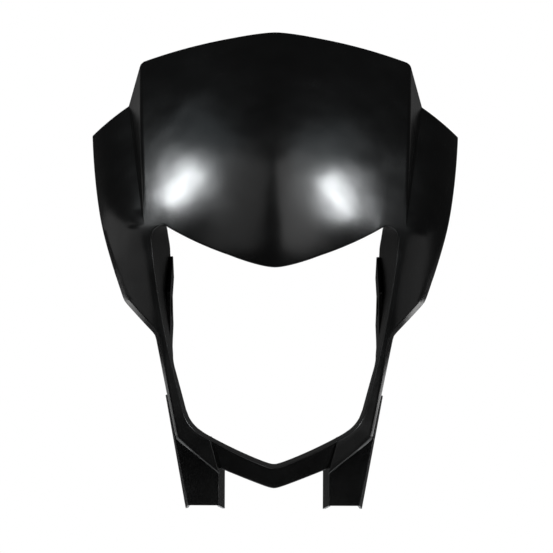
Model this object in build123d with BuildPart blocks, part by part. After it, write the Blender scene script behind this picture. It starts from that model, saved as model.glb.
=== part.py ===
"""Headlight cowl of a light dual-sport motorbike: one black moulding, in millimetres.

The origin is midway between the two headlight bolts. X runs right in a front view, Y runs back
towards the fork and Z runs up. The form is symmetric about X = 0, so the right half is modelled
and mirrored. Front-view points are (X, Z) pairs and side-view points are (Y, Z) pairs.
"""

from build123d import *
import os
from math import hypot

# Moulding
WALL = 2.5  # ribs, rims and return walls
HOOD_SKIN = 3.4  # the hood's wall, measured along Y
WING_SKIN = 4.0  # the raked wing's wall, measured along Y
EDGE_BEVEL = 5.0  # bevel round the wing's and the strap's outer edge
CREASE_RADIUS = 3.0  # rounding of the hood's side crease
REACH = 320.0  # length of a cut that goes right through
MARGIN = 10.0  # how far a construction surface runs past the form

# Hood: a centre profile carried sideways along a bow with a soft keel
LIP_Z = 36.0  # tip of the lip over the lamp
APEX_Z = 264.5  # top of the hood on the centre line
LIP_REACH = 104.0  # lip tip, in front of the bolts
NOSE_REACH = 110.0  # pull of the profile just above the lip
BROW_REACH = 52.0  # pull of the profile below the crown
CROWN_BACK = 26.5  # apex, behind the bolts
KEEL_SLOPE = 0.13  # how fast the flanks fall back from the keel
KEEL_SOFT = 12.0  # half width over which the keel is rounded
HOOD_BOW = 32.0  # further fall of the flank at the upper corner
CREASE_FOOT = (119.0, 74.0)  # where the crease dies out in the cheek
HOOD_CORNER = (132.5, 237.5)  # upper corner, where the crease starts
HOOD_CORNER_RADIUS = 4.0
TOP_SAG = 4.2  # belly of the top edge over its chord
SIDE_DRAFT = 0.4  # spread of the hood's side for each mm going back
SIDE_DEPTH = 46.0  # depth of the hood's block, enough for its side to reach the wing
LIP_RETURN = 7.0  # depth of the lip's underside

# Wing, cheek and strap: one raked surface with a rim
NOTCH = (144.3, 195.0)  # where the hood's side meets the wing's top edge
WING_TIP = (182.8, 167.5)
WING_TIP_RADIUS = 5.0
WING_BELLY = (168.2, 93.0)  # a point on the wing's outer edge
WING_HEEL = (138.5, 5.0)  # lower end of that edge
STRAP_SHOULDER = (107.5, -25.0)
STRAP_FOOT = (87.5, -117.0)
STRAP_END = (49.0, -147.0)
HEEL_RADIUS = 14.0
SHOULDER_RADIUS = 10.0
CHEEK_REACH = 77.5  # the cheek's root at bolt height, in front of the bolts
CHEEK_LEAN = 0.14
WING_SWEEP = 0.83  # further lean of the wing above its bend
BEND_Z = 75.5
BEND_SOFT = 14.0  # half height over which that bend is rounded
ROOT_SLOPE = 0.42  # how fast the cheek falls back going outwards from its root
STRAP_SLOPE = 0.15  # the same at the strap's foot
CHEEK_FULL_Z = 40.0  # height above which the cheek has its full slope
WING_BOW = 29.0  # further fall of the wing at its tip
WING_WIDTH = 45.0  # from the wing's root to its tip
WING_RIM = 14.0  # depth of the wing's rim
STRAP_RIM = 38.0  # depth of the strap's side wall
RIM_LOW_Z = -60.0  # the rim grows from one depth to the other between these heights
RIM_HIGH_Z = 20.0
ROOT_X = 93.0  # inner limit of the wing's surface at bolt height
ROOT_TURN = 0.15  # its lean above and below
ROOT_CURVE = 0.0025  # its curve below

# Lamp opening: its outline at the face and, where the return walls close in, at the back
OPENING_SIDE = [(99.8, 74.0), (111.8, 62.4), (101.8, -4.0), (91.5, -50.0)]  # lip's end, shoulder, waist, knee
BACK_SIDE = [(84.5, 74.0), (96.5, 62.4), (98.8, -4.0), (98.5, -50.0)]
OPENING_FOOT = (77.3, -105.5)
OPENING_CHIN_Z = -141.0
OPENING_FOOT_RADIUS = 30.0
CHIN_SAG = 1.9  # belly of the opening's lower edge
LIP_SAG = 4.6  # belly of the lip below its chord
SHOULDER_SAG = 3.5  # rounding of the opening's upper corner
OPENING_FACE = 70.0  # plane of the first outline, in front of the bolts
OPENING_BACK = 40.0  # plane of the second, behind them

# Return wall beside the lamp, seen from the side: a lobed back edge, which the ear shares, and hidden ends
LOBES = [(16, 47), (30, 27), (14, 9), (18, -4), (26, -19), (16, -34), (12, -47)]
RETURN_TOP = [(-60, 76), (-5, 76), (13, 57)]
RETURN_FOOT = [(-48, -53), (-79, -53), (-72, -4), (-67, 27)]
RETURN_ROOT_X = 86.0  # the wall's inner limit, clear of the lip

# Chin bar, set back from the straps that carry it
CHIN_REACH = 101.0
CHIN_END_REACH = 93.5
CHIN_TIP_Z = -158.8
CHIN_SLOPE = 0.37  # rise of the lower edge for each mm going outwards
CHIN_STEP = (57.4, -112.0)  # upper end of the step between a strap and the chin
CHIN_DEPTH = 30.0

# Legs: channels open to the back, with flanges that spread
LEG_FRONT = 66.0  # web's face, in front of the bolts
LEG_BACK = 20.0  # flanges' back edges, in front of the bolts
LEG_TOP_Z = -83.0
LEG_WEB_Z = -179.5
LEG_TIP_Z = -189.5
LEG_INNER = 50.0
LEG_OUTER_TOP = 97.2
LEG_OUTER_FOOT = 77.8
LEG_SPREAD_IN = 4.2
LEG_SPREAD_OUT = 4.7
LEG_CLEAR = 8.0  # how far the legs' backs stay outside the opening

# Headlight ears: plates with a cup round each bolt
EAR_INSIDE = 97.6  # half the room between the ears
EAR_WALL = 3.5
EAR_FRONT = [(-20, -47), (-20, 13), (13, 47)]
CUP_RADIUS = 12.5
POCKET_RADIUS = 10.0
CUP_LENGTH = 12.0  # from the ear's inner face to the cup's end
CUP_FLOOR = 4.0
BOLT_RADIUS = 3.25

# Stay bosses inside the crown
STAY_X = 60.0
STAY_Z = 226.0
STAY_FACE = 36.0  # bosses' faces, behind the bolts
STAY_RADIUS = 7.5
STAY_HOLE_RADIUS = 2.75
STAY_HOLE_DEPTH = 18.0
RIB_REACH = 18.0  # from the boss's axis to the foot of its ribs
RIB_DROP = 3.0  # from the boss's face to the ribs' top

STAY_PLANE = Plane((STAY_X, STAY_FACE, STAY_Z), x_dir=(1, 0, 0), z_dir=(0, 1, 0))
FROM_FACE = (Align.CENTER, Align.CENTER, Align.MAX)

os.makedirs("parts", exist_ok=True)


def line_at(z, low, high):
    """X at height z on the straight line through two front-view points."""
    return low[0] + (high[0] - low[0]) * (z - low[1]) / (high[1] - low[1])


def smooth_step(value, low, high):
    """Rises smoothly from 0 at low to 1 at high."""
    share = min(max((value - low) / (high - low), 0.0), 1.0)
    return share * share * (3 - 2 * share)


def belly(start, end, sag):
    """Point beside the middle of a chord, sag to its right when walking along it."""
    run, rise = end[0] - start[0], end[1] - start[1]
    length = hypot(run, rise)
    return ((start[0] + end[0]) / 2 + sag * rise / length, (start[1] + end[1]) / 2 - sag * run / length)


def steps(low, high, count):
    """Evenly spaced values from low to high."""
    return [low + (high - low) * step / count for step in range(count + 1)]


def hood_y(x, z):
    """Y of the hood's surface."""
    t = (z - LIP_Z) / (APEX_Z - LIP_Z)
    s = 1 - t
    profile = CROWN_BACK * t**3 - LIP_REACH * s**3 - 3 * t * s * (NOSE_REACH * s + BROW_REACH * t)
    keel = KEEL_SLOPE * (hypot(x, KEEL_SOFT) - KEEL_SOFT)
    return profile + keel + HOOD_BOW * (x / HOOD_CORNER[0]) ** 2


def wing_y(x, z):
    """Y of the wing, cheek and strap's surface."""
    above = z - BEND_Z
    lean = CHEEK_LEAN * z + WING_SWEEP * (hypot(above, BEND_SOFT) + above) / 2
    out = x - line_at(z, CREASE_FOOT, NOTCH)
    share = smooth_step(z, STRAP_FOOT[1], CHEEK_FULL_Z)
    slope = STRAP_SLOPE + (ROOT_SLOPE - STRAP_SLOPE) * share
    bow = WING_BOW * share * (max(out, 0.0) / WING_WIDTH) ** 2
    return lean - CHEEK_REACH + slope * out + bow


def rim_depth(z):
    """Depth of the wing's and the strap's rim."""
    return STRAP_RIM + (WING_RIM - STRAP_RIM) * smooth_step(z, RIM_LOW_Z, RIM_HIGH_Z)


def wing_root(z):
    """Where the wing's surface ends: inside the hood above, inside the opening below."""
    return ROOT_X + ROOT_TURN * z - ROOT_CURVE * min(z, 0) ** 2


def strap_end_x(z):
    """X of the strap's end, at the chin."""
    return line_at(z, STRAP_END, CHIN_STEP)


def hood_skin(inset, start):
    """The right half of the hood's surface from X = start outwards, moved back by inset."""
    rows = steps(LIP_Z - MARGIN, APEX_Z + MARGIN, 6)
    columns = steps(start, WING_TIP[0], 10)
    points = [[(x, hood_y(x, z) + inset, z) for x in columns] for z in rows]
    return Face.make_surface_from_array_of_points(points)


def side_skin(inset):
    """The hood's right side, moved in by inset: it starts at the crease and spreads going back."""
    points = []
    depths = steps(-SIDE_DEPTH, 2 * SIDE_DEPTH, 4)
    for z in steps(LIP_Z - 2 * MARGIN, APEX_Z + 2 * MARGIN, 8):
        crease = line_at(z, CREASE_FOOT, HOOD_CORNER)
        front = hood_y(crease, z)
        points.append([(crease - inset + SIDE_DRAFT * depth, front + depth, z) for depth in depths])
    return Face.make_surface_from_array_of_points(points)


def wing_skin(inset, spread):
    """The right wing, cheek and strap's surface, moved back by inset(z) and wider by spread."""
    points = []
    for z in steps(STRAP_END[1] - 4 * MARGIN - spread, NOTCH[1] + 4 * MARGIN + spread, 24):
        columns = steps(wing_root(z) - spread, WING_TIP[0] + 3 * MARGIN + spread, 8)
        points.append([(x, wing_y(x, z) + inset(z), z) for x in columns])
    return Face.make_surface_from_array_of_points(points)


def hood_block(skin, side, radius, depth, start):
    """What is behind the hood's surface and inside its side, within the given walls."""
    with BuildPart() as block:
        extrude(hood_skin(skin, start), amount=depth, dir=(0, 1, 0))
        extrude(side_skin(side), amount=REACH, dir=(1, 0, 0), mode=Mode.SUBTRACT)
        if radius:
            middle = (LIP_Z + APEX_Z) / 2
            crease = line_at(middle, CREASE_FOOT, HOOD_CORNER) - side
            nearest = Vector(crease, hood_y(crease, middle) + skin, middle)
            fillet(block.edges().sort_by_distance(nearest)[0], radius)
    return block.part


def wing_block(skin, rim, bevel):
    """What is behind the right wing's surface and inside its outline, within the given walls."""
    with BuildPart() as block:
        extrude(wing_skin(lambda z: skin, 0), amount=REACH, dir=(0, 1, 0))
        with BuildSketch(Plane.XZ) as outline:
            with BuildLine():
                edge = ThreePointArc(WING_HEEL, WING_BELLY, WING_TIP)
                top = edge @ 1 + (edge % 1) * 8 * MARGIN
                Line(edge @ 1, top)
                Polyline(top, (MARGIN, top.Y), (MARGIN, CHIN_STEP[1]), CHIN_STEP, STRAP_END)
                Polyline(STRAP_END, STRAP_FOOT, STRAP_SHOULDER, WING_HEEL)
            make_face()
            fillet(outline.vertices().sort_by_distance(STRAP_SHOULDER)[0], SHOULDER_RADIUS)
            fillet(outline.vertices().sort_by_distance(WING_HEEL)[0], HEEL_RADIUS)
            if rim:
                offset(amount=-rim)
        extrude(amount=REACH, both=True, mode=Mode.INTERSECT)
        front = block.faces().filter_by(GeomType.BSPLINE).sort_by(Axis.Y)[0]
        below_top = front.edges().filter_by(lambda e: e.center().Z < top.Y - MARGIN)
        chamfer(below_top.filter_by(lambda e: e.center().X > strap_end_x(e.center().Z) + MARGIN), bevel)
    return block.part


def facing_front(y):
    """Front-view plane at the given Y."""
    return Plane((0, y, 0), x_dir=(1, 0, 0), z_dir=(0, -1, 0))


def opening(grow):
    """The lamp's room, straight in front of the face plane and closing in behind it."""
    with BuildPart() as room:
        with BuildSketch(facing_front(-OPENING_FACE)) as face:
            add(opening_outline(*OPENING_SIDE, grow))
        with BuildSketch(facing_front(OPENING_BACK)) as rear:
            add(opening_outline(*BACK_SIDE, grow))
        loft([face.sketch, rear.sketch], ruled=True)
        extrude(face.sketch, amount=REACH / 2)
        extrude(rear.sketch, amount=-REACH / 2)
    return room.part


def opening_outline(lip_end, shoulder, waist, knee, grow):
    """Right half of the opening in a front view, with a strip past the middle, grown outwards."""
    lip, chin = LIP_Z + grow, OPENING_CHIN_Z - grow
    lip_end = (lip_end[0], lip_end[1] + grow)
    shoulder, waist, knee = [(x + grow, z) for x, z in (shoulder, waist, knee)]
    foot = (OPENING_FOOT[0] + grow, OPENING_FOOT[1] - grow / 2)
    with BuildSketch() as outline:
        with BuildLine():
            Polyline((0, lip), (-MARGIN, lip), (-MARGIN, chin), (0, chin))
            ThreePointArc((0, chin), belly((0, chin), foot, CHIN_SAG), foot)
            Line(foot, knee)
            ThreePointArc(knee, waist, shoulder)
            ThreePointArc(shoulder, belly(lip_end, shoulder, -SHOULDER_SAG), lip_end)
            ThreePointArc(lip_end, belly((0, lip), lip_end, LIP_SAG), (0, lip))
        make_face()
        fillet(outline.vertices().sort_by_distance(foot)[0], OPENING_FOOT_RADIUS)
    return outline.sketch


def top_cut():
    """What is above the hood's top edge, its side's back edge and the wing's top edge."""
    with BuildPart() as cut:
        with BuildSketch(Plane.XZ) as above:
            with BuildLine():
                ThreePointArc((0, APEX_Z), belly((0, APEX_Z), HOOD_CORNER, -TOP_SAG), HOOD_CORNER)
                Polyline(HOOD_CORNER, NOTCH, WING_TIP, (REACH, WING_TIP[1] - MARGIN / 2), (REACH, REACH))
                Polyline((REACH, REACH), (-MARGIN, REACH), (-MARGIN, APEX_Z), (0, APEX_Z))
            make_face()
            fillet(above.vertices().sort_by_distance(HOOD_CORNER)[0], HOOD_CORNER_RADIUS)
            fillet(above.vertices().sort_by_distance(WING_TIP)[0], WING_TIP_RADIUS)
        extrude(amount=REACH, both=True)
    return cut.part


def chin_block(wall):
    """The chin bar's right half behind its bowed face, within the given wall."""
    face, end = wall - CHIN_REACH, wall - CHIN_END_REACH
    back = CHIN_DEPTH - CHIN_REACH + 2 * wall
    start = -2 * MARGIN if wall else -MARGIN
    low = CHIN_TIP_Z + wall
    overlap = WALL / 2 - wall
    past = CHIN_STEP[0] + MARGIN
    step = (CHIN_STEP[0] + overlap, CHIN_STEP[1])
    foot_z = low + CHIN_SLOPE * STRAP_END[0]
    foot = (strap_end_x(foot_z) + overlap, foot_z)
    with BuildPart() as block:
        with BuildSketch(Plane.XY):
            with BuildLine():
                bow = ThreePointArc((-CHIN_STEP[0], end), (0, face), (CHIN_STEP[0], end))
                Polyline(bow @ 1, (past, bow.position_at(1).Y), (past, back), (-CHIN_STEP[0], back), bow @ 0)
            make_face()
        extrude(amount=REACH, both=True)
        with BuildSketch(Plane.XZ) as outline:
            with BuildLine():
                Polyline((start, step[1]), step, foot, (0, low), (start, low), (start, step[1]))
            make_face()
        extrude(amount=REACH, both=True, mode=Mode.INTERSECT)
    return block.part


def leg_block(wall):
    """The right leg's outer form, or the room inside it within the given wall."""
    past = MARGIN if wall else 0
    sections = []
    for y in (wall - LEG_FRONT, past - LEG_BACK):
        share = (y + LEG_FRONT) / (LEG_FRONT - LEG_BACK)
        low = LEG_WEB_Z + (LEG_TIP_Z - LEG_WEB_Z) * share - past
        inner = LEG_INNER - LEG_SPREAD_IN * share + wall
        outer = LEG_SPREAD_OUT * share - wall
        top = LEG_TOP_Z - wall
        outside = [(LEG_OUTER_TOP + outer, top), (LEG_OUTER_FOOT + outer, low)]
        with BuildSketch(facing_front(y)) as section:
            Polygon((inner, top), *outside, (inner, low), align=None)
        sections.append(section.sketch)
    with BuildPart() as block:
        loft(sections, ruled=True)
    return block.part


def leg_clearance(grow):
    """The opening carried back through the legs, widening so that their tops stay out of sight."""
    with BuildPart() as room:
        with BuildSketch(facing_front(-LEG_FRONT - MARGIN)) as face:
            add(opening_outline(*OPENING_SIDE, grow))
        with BuildSketch(facing_front(MARGIN - LEG_BACK)) as rear:
            add(opening_outline(*OPENING_SIDE, grow + LEG_CLEAR))
        loft([face.sketch, rear.sketch], ruled=True)
    return room.part


def side_plate(points, start, end):
    """A plate with a side-view outline, from X = start to X = end."""
    with BuildPart() as plate:
        with BuildSketch(Plane((start, 0, 0), x_dir=(0, 1, 0), z_dir=(1, 0, 0))):
            Polygon(*points, align=None)
        extrude(amount=end - start)
    return plate.part


def shell():
    """The hood, the wing, the cheek and the strap as a hollow moulding with rims round the opening."""
    room = opening(WALL)
    with BuildPart() as body:
        add(wing_block(0, 0, EDGE_BEVEL))
        extrude(wing_skin(rim_depth, MARGIN / 2), amount=2 * REACH, dir=(0, 1, 0), mode=Mode.SUBTRACT)
        add(hood_block(0, 0, CREASE_RADIUS, SIDE_DEPTH, -MARGIN))
        add(hood_block(HOOD_SKIN, WALL, 0, 2 * SIDE_DEPTH, -2 * MARGIN) - room, mode=Mode.SUBTRACT)
        add(wing_block(WING_SKIN, WALL, EDGE_BEVEL - 1) - room, mode=Mode.SUBTRACT)
        with BuildPart(mode=Mode.SUBTRACT):
            extrude(hood_skin(LIP_RETURN, -3 * MARGIN), amount=2 * SIDE_DEPTH, dir=(0, 1, 0))
            with Locations((RETURN_ROOT_X, 0, 0)):
                Box(REACH, REACH, REACH, align=(Align.MAX, Align.CENTER, Align.CENTER), mode=Mode.INTERSECT)
        add(chin_block(0) - (chin_block(WALL) - room))
        add(leg_block(0) - (leg_block(WALL) - leg_clearance(WALL)) - leg_clearance(0))
        add(side_plate(RETURN_TOP + LOBES + RETURN_FOOT, RETURN_ROOT_X, REACH) & room)
        add(opening(0), mode=Mode.SUBTRACT)
        add(top_cut(), mode=Mode.SUBTRACT)
    return body.part


def stay_boss():
    """A boss inside the crown with ribs above and below it."""
    foot = STAY_FACE - 2 * RIB_REACH
    lower, upper = (foot, STAY_Z - RIB_REACH), (foot, STAY_Z + RIB_REACH)
    ribs = [lower, (STAY_FACE - RIB_DROP, STAY_Z), upper, (-REACH, STAY_Z)]
    with BuildPart() as boss:
        with Locations(STAY_PLANE):
            Cylinder(STAY_RADIUS, REACH, align=FROM_FACE)
        add(side_plate(ribs, STAY_X - WALL / 2, STAY_X + WALL / 2))
        extrude(hood_skin(HOOD_SKIN / 2, -MARGIN), amount=2 * SIDE_DEPTH, dir=(0, 1, 0), mode=Mode.INTERSECT)
    return boss.part


with BuildPart() as half:
    add(shell())
    add(side_plate(LOBES + EAR_FRONT, EAR_INSIDE, EAR_INSIDE + EAR_WALL))
    with Locations(Plane((EAR_INSIDE, 0, 0), x_dir=(0, 1, 0), z_dir=(1, 0, 0))):
        from_inside = (Align.CENTER, Align.CENTER, Align.MIN)
        Cylinder(CUP_RADIUS, CUP_LENGTH, align=from_inside)
        Cylinder(POCKET_RADIUS, CUP_LENGTH - CUP_FLOOR, align=from_inside, mode=Mode.SUBTRACT)
        Cylinder(BOLT_RADIUS, CUP_LENGTH, align=from_inside, mode=Mode.SUBTRACT)
    add(stay_boss())
    with Locations(STAY_PLANE):
        Cylinder(STAY_HOLE_RADIUS, STAY_HOLE_DEPTH, align=FROM_FACE, mode=Mode.SUBTRACT)
    split(bisect_by=Plane.YZ)

with BuildPart() as cowl:
    add(half)
    mirror(about=Plane.YZ)

cowl.part.label = "headlight_cowl"
export_step(cowl.part, "parts/headlight_cowl.step")
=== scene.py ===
# %% [markdown]
# # The headlight cowl of a light motorbike
# The cowl is one black moulding: a keeled hood over the lamp, two swept wings, straps down both sides of
# the lamp, a chin bar under it and two legs. The solid model gives its size and place. Here the same form
# is made again as a thin skin with soft edges and a glossy finish, in the same frame and in metres.

# %% Load the frame
from math import atan2, cos, degrees, hypot, pi, radians, sin, sqrt, tan, tau
import bmesh
import bpy
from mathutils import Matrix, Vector


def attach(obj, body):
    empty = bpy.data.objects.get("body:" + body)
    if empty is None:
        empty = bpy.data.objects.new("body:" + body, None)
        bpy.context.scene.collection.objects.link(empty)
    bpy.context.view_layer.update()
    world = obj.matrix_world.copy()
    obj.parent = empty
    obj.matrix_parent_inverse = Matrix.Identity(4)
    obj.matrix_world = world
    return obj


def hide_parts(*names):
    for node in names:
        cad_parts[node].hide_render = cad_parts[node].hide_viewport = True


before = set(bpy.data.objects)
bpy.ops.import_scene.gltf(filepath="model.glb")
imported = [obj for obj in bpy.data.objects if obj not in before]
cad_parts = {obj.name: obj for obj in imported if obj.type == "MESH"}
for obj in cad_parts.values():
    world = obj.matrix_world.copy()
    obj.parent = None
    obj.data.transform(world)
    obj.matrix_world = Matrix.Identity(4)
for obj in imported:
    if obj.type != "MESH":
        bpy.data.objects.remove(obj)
scene = bpy.context.scene
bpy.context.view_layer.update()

# %% [markdown]
# ## Camera
# The photograph looks level at the cowl's face through a long lens. One pixel of it covers 0.95 mm at the
# headlight bolts, so the lens follows from the distance. The picture leans by a quarter of a degree.

# %% Camera
IMAGE_SIZE = 553
PIXEL = 0.00095  # metres covered by one pixel at the bolts
AXIS_PIXEL = 274.7  # column of the photograph in which the cowl's middle plane lies
CAMERA_DISTANCE = 1.4
CAMERA_HEIGHT = 0.028
CAMERA_ROLL = radians(-0.23)


def add_object(name, data):
    """Puts an object with the given data into the scene."""
    thing = bpy.data.objects.new(name, data)
    scene.collection.objects.link(thing)
    return thing


camera = add_object("camera", bpy.data.cameras.new("camera"))
camera.data.lens = camera.data.sensor_width * CAMERA_DISTANCE / (PIXEL * IMAGE_SIZE)
camera.data.shift_x = (IMAGE_SIZE / 2 - AXIS_PIXEL) / IMAGE_SIZE
camera.location = (0, -CAMERA_DISTANCE, CAMERA_HEIGHT)
camera.rotation_euler = (pi / 2, CAMERA_ROLL, 0)
scene.camera = camera
print("lens", round(camera.data.lens, 2), "mm")

# %% [markdown]
# ## A rule that works on numbers and on nodes
# A pressed shape is easiest to write as a rule: the depth of a point follows from its place in the front
# view. The nodes below need that rule as a chain of Math nodes, and the walls behind the skin need it as
# plain numbers. A Wire is a value inside a node tree with plus, minus and times, so one rule serves both.

# %% Wires
class Wire:
    """A value on its way through a node tree, for writing Math nodes as a sum."""

    def __init__(self, tree, socket):
        self.tree = tree
        self.socket = socket

    def math(self, operation, *values):
        node = self.tree.nodes.new("ShaderNodeMath")
        node.operation = operation
        for socket, value in zip(node.inputs, values):
            if isinstance(value, Wire):
                self.tree.links.new(value.socket, socket)
            else:
                socket.default_value = value
        return Wire(self.tree, node.outputs[0])

    def __add__(self, other):
        return self.math("ADD", self, other)

    def __sub__(self, other):
        return self.math("SUBTRACT", self, other)

    def __rsub__(self, other):
        return self.math("SUBTRACT", other, self)

    def __mul__(self, other):
        return self.math("MULTIPLY", self, other)

    def __truediv__(self, other):
        return self.math("DIVIDE", self, other)

    __radd__ = __add__
    __rmul__ = __mul__


def larger(a, b):
    return a.math("MAXIMUM", a, b) if isinstance(a, Wire) else max(a, b)


def smaller(a, b):
    return a.math("MINIMUM", a, b) if isinstance(a, Wire) else min(a, b)


def length(a, b):
    """Long side of a right triangle, used to round a kink."""
    square = a * a + b * b
    return square.math("SQRT", square) if isinstance(square, Wire) else sqrt(square)


def rise(value, low, high):
    """Climbs smoothly from 0 at low to 1 at high."""
    share = larger(smaller((value - low) / (high - low), 1.0), 0.0)
    return share * share * (3.0 - 2.0 * share)


def between(a, b, share):
    """Value part of the way from a to b."""
    return a + (b - a) * share


print("rules can be written")

# %% [markdown]
# ## The two pressed surfaces
# The hood is a centre profile, a Bezier curve from lip to crown, carried sideways along a bow with a soft
# keel in the middle. The wing, cheek and strap share a second surface, which leans back more steeply above
# a soft bend. Where the two meet beside the lamp, the one nearer to the front wins, with a soft blend.

# %% Rules of the surfaces
SIZES = {
    "Lip Height": 0.036,
    "Apex Height": 0.2645,
    "Lip Reach": 0.104,
    "Nose Reach": 0.110,
    "Brow Reach": 0.052,
    "Crown Back": 0.0265,
    "Keel Slope": 0.13,
    "Keel Width": 0.012,
    "Hood Bow": 0.032,
    "Hood Half Width": 0.1325,
    "Cheek Reach": 0.0775,
    "Cheek Lean": 0.14,
    "Wing Sweep": 0.83,
    "Bend Height": 0.0755,
    "Bend Width": 0.017,
    "Root Slope": 0.42,
    "Strap Slope": 0.15,
    "Wing Bow": 0.029,
    "Wing Width": 0.045,
    "Blend": 0.004,
}
CREASE_FOOT = (0.119, 0.074)
NOTCH = (0.1443, 0.195)
STRAP_FOOT = (0.0875, -0.117)
CHEEK_FULL_Z = 0.040  # height from which the wing has its full slope
ROOT_RUN = 0.025  # how far the wing's surface runs on inside its root
ROOT_LEAN = (NOTCH[0] - CREASE_FOOT[0]) / (NOTCH[1] - CREASE_FOOT[1])


def hood_depth(x, z, size):
    """Y of the hood at a place in the front view."""
    t = (z - size["Lip Height"]) / (size["Apex Height"] - size["Lip Height"])
    s = 1.0 - t
    middle = 3.0 * t * s * (size["Nose Reach"] * s + size["Brow Reach"] * t)
    profile = size["Crown Back"] * t * t * t - size["Lip Reach"] * s * s * s - middle
    keel = size["Keel Slope"] * (length(x, size["Keel Width"]) - size["Keel Width"])
    across = x / size["Hood Half Width"]
    return profile + keel + size["Hood Bow"] * across * across


def wing_depth(x, z, size):
    """Y of the wing, the cheek and the strap."""
    above = z - size["Bend Height"]
    sweep = size["Wing Sweep"] * (length(above, size["Bend Width"]) + above) / 2.0
    out = larger(x - (z - CREASE_FOOT[1]) * ROOT_LEAN - CREASE_FOOT[0], -ROOT_RUN)
    share = rise(z, STRAP_FOOT[1], CHEEK_FULL_Z)
    slope = between(size["Strap Slope"], size["Root Slope"], share)
    bow = larger(out, 0.0) / size["Wing Width"]
    lean = size["Cheek Lean"] * z + sweep - size["Cheek Reach"]
    return lean + slope * out + size["Wing Bow"] * share * bow * bow


def skin_depth(x, z, form, size):
    """Y of the skin: form 0 is the hood, form 1 is the wing."""
    hood = hood_depth(x, z, size)
    wing = wing_depth(x, z, size)
    nearer = (hood + wing - length(hood - wing, size["Blend"])) / 2.0
    return between(wing, nearer, 1.0 - form)


crown_y = hood_depth(0, SIZES["Apex Height"], SIZES)
lip_y = hood_depth(0, SIZES["Lip Height"], SIZES)
print("crown at", round(crown_y, 4), "lip at", round(lip_y, 4))

# %% [markdown]
# ## Outlines in the front view
# Every edge of the cowl is drawn once as seen from the front: straight lines, arcs through three points and
# rounded corners. The lists are dense, because they only guide the rows and columns of the skin's grid.

# %% Outline helpers
def mix(a, b, share):
    """Point part of the way from a to b."""
    return tuple(between(p, q, share) for p, q in zip(a, b))


def steps(count):
    """Even shares from 0 to 1."""
    return [step / count for step in range(count + 1)]


def belly(start, end, sag):
    """Point beside the middle of a chord, sag to its right when walking along it."""
    run, up = end[0] - start[0], end[1] - start[1]
    chord = hypot(run, up)
    return (start[0] + end[0]) / 2 + sag * up / chord, (start[1] + end[1]) / 2 - sag * run / chord


def arc(start, through, end, count):
    """Points on the circle through three points."""
    a, b, c = Vector(start), Vector(through), Vector(end)
    twice = 2 * ((b - a).x * (c - a).y - (b - a).y * (c - a).x)
    ab, ac = (b - a).length_squared, (c - a).length_squared
    centre = a + Vector(((c - a).y * ab - (b - a).y * ac, (b - a).x * ac - (c - a).x * ab)) / twice
    first, middle, last = [atan2(p.y - centre.y, p.x - centre.x) for p in (a, b, c)]
    turn = (last - first) % tau
    if (middle - first) % tau > turn:
        turn -= tau
    radius = (a - centre).length
    angles = [first + turn * share for share in steps(count)]
    return [(centre.x + radius * cos(angle), centre.y + radius * sin(angle)) for angle in angles]


def rounded(before, corner, after, radius, count):
    """Arc that rounds a corner between two straight runs."""
    middle = Vector(corner)
    back = (Vector(before) - middle).normalized()
    ahead = (Vector(after) - middle).normalized()
    half = back.angle(ahead) / 2
    inward = (back + ahead).normalized()
    top = middle + inward * (radius / sin(half) - radius)
    reach = radius / tan(half)
    return arc(middle + back * reach, top, middle + ahead * reach, count)


print("arcs can be drawn")

# %% Places on a path
def lengths(path):
    """Lengths of a path's straight runs."""
    return [hypot(b[0] - a[0], b[1] - a[1]) for a, b in zip(path, path[1:])]


def point_at(path, share):
    """Point at a share of a path's length."""
    runs = lengths(path)
    left = share * sum(runs)
    for a, b, run in zip(path, path[1:], runs):
        if left <= run:
            return mix(a, b, left / run if run else 0)
        left -= run
    return path[-1]


def share_of(path, place):
    """Share of a path's length at its point nearest to a place."""
    runs = lengths(path)
    nearest = min(range(len(path)), key=lambda i: hypot(path[i][0] - place[0], path[i][1] - place[1]))
    return sum(runs[:nearest]) / sum(runs)


def straight(place, start, end):
    """Value at a place on the straight line through two pairs of place and value."""
    return start[1] + (end[1] - start[1]) * (place - start[0]) / (end[0] - start[0])


def height_at(line, x):
    """Height of a line of points at x."""
    nearest = min(zip(line, line[1:]), key=lambda pair: abs(pair[0][0] + pair[1][0] - 2 * x))
    return straight(x, *nearest)


def soft_kink(x, soft):
    """Distance from the middle plane, with the kink at the plane rounded off."""
    return hypot(x, soft) - soft


def blunt(x, soft, run):
    """Place on a line that is used at x, so that its point at x = 0 is rounded off."""
    return x + (soft_kink(x, soft) - x) * max(1 - x / run, 0)


print("places can be found")

# %% The hood's edges
LIP_TIP = (0.0, SIZES["Lip Height"])
LIP_END = (0.0998, CREASE_FOOT[1])
LIP_SAG = 0.0046
APEX = (0.0, SIZES["Apex Height"])
HOOD_CORNER = (SIZES["Hood Half Width"], 0.2375)
TOP_SAG = 0.0036
CORNER_DROP = 0.0018  # cut off the hood's corner
TIP_ROUND = 0.008  # how far the hood's two points are rounded off
TIP_RUN = 0.040  # how far along the edges the rounding reaches
HOOD_STEPS = 60

lip = arc(LIP_TIP, belly(LIP_TIP, LIP_END, LIP_SAG), LIP_END, HOOD_STEPS)
top = arc(APEX, belly(APEX, HOOD_CORNER, -TOP_SAG), HOOD_CORNER, HOOD_STEPS)
lip = [(x, height_at(lip, blunt(x, TIP_ROUND, TIP_RUN))) for x, z in lip]
top = [(x, height_at(top, blunt(x, TIP_ROUND, TIP_RUN))) for x, z in top]
top[-1] = (HOOD_CORNER[0], HOOD_CORNER[1] - CORNER_DROP)
print("lip ends at", lip[-1], "and the top at", top[-1])

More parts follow.
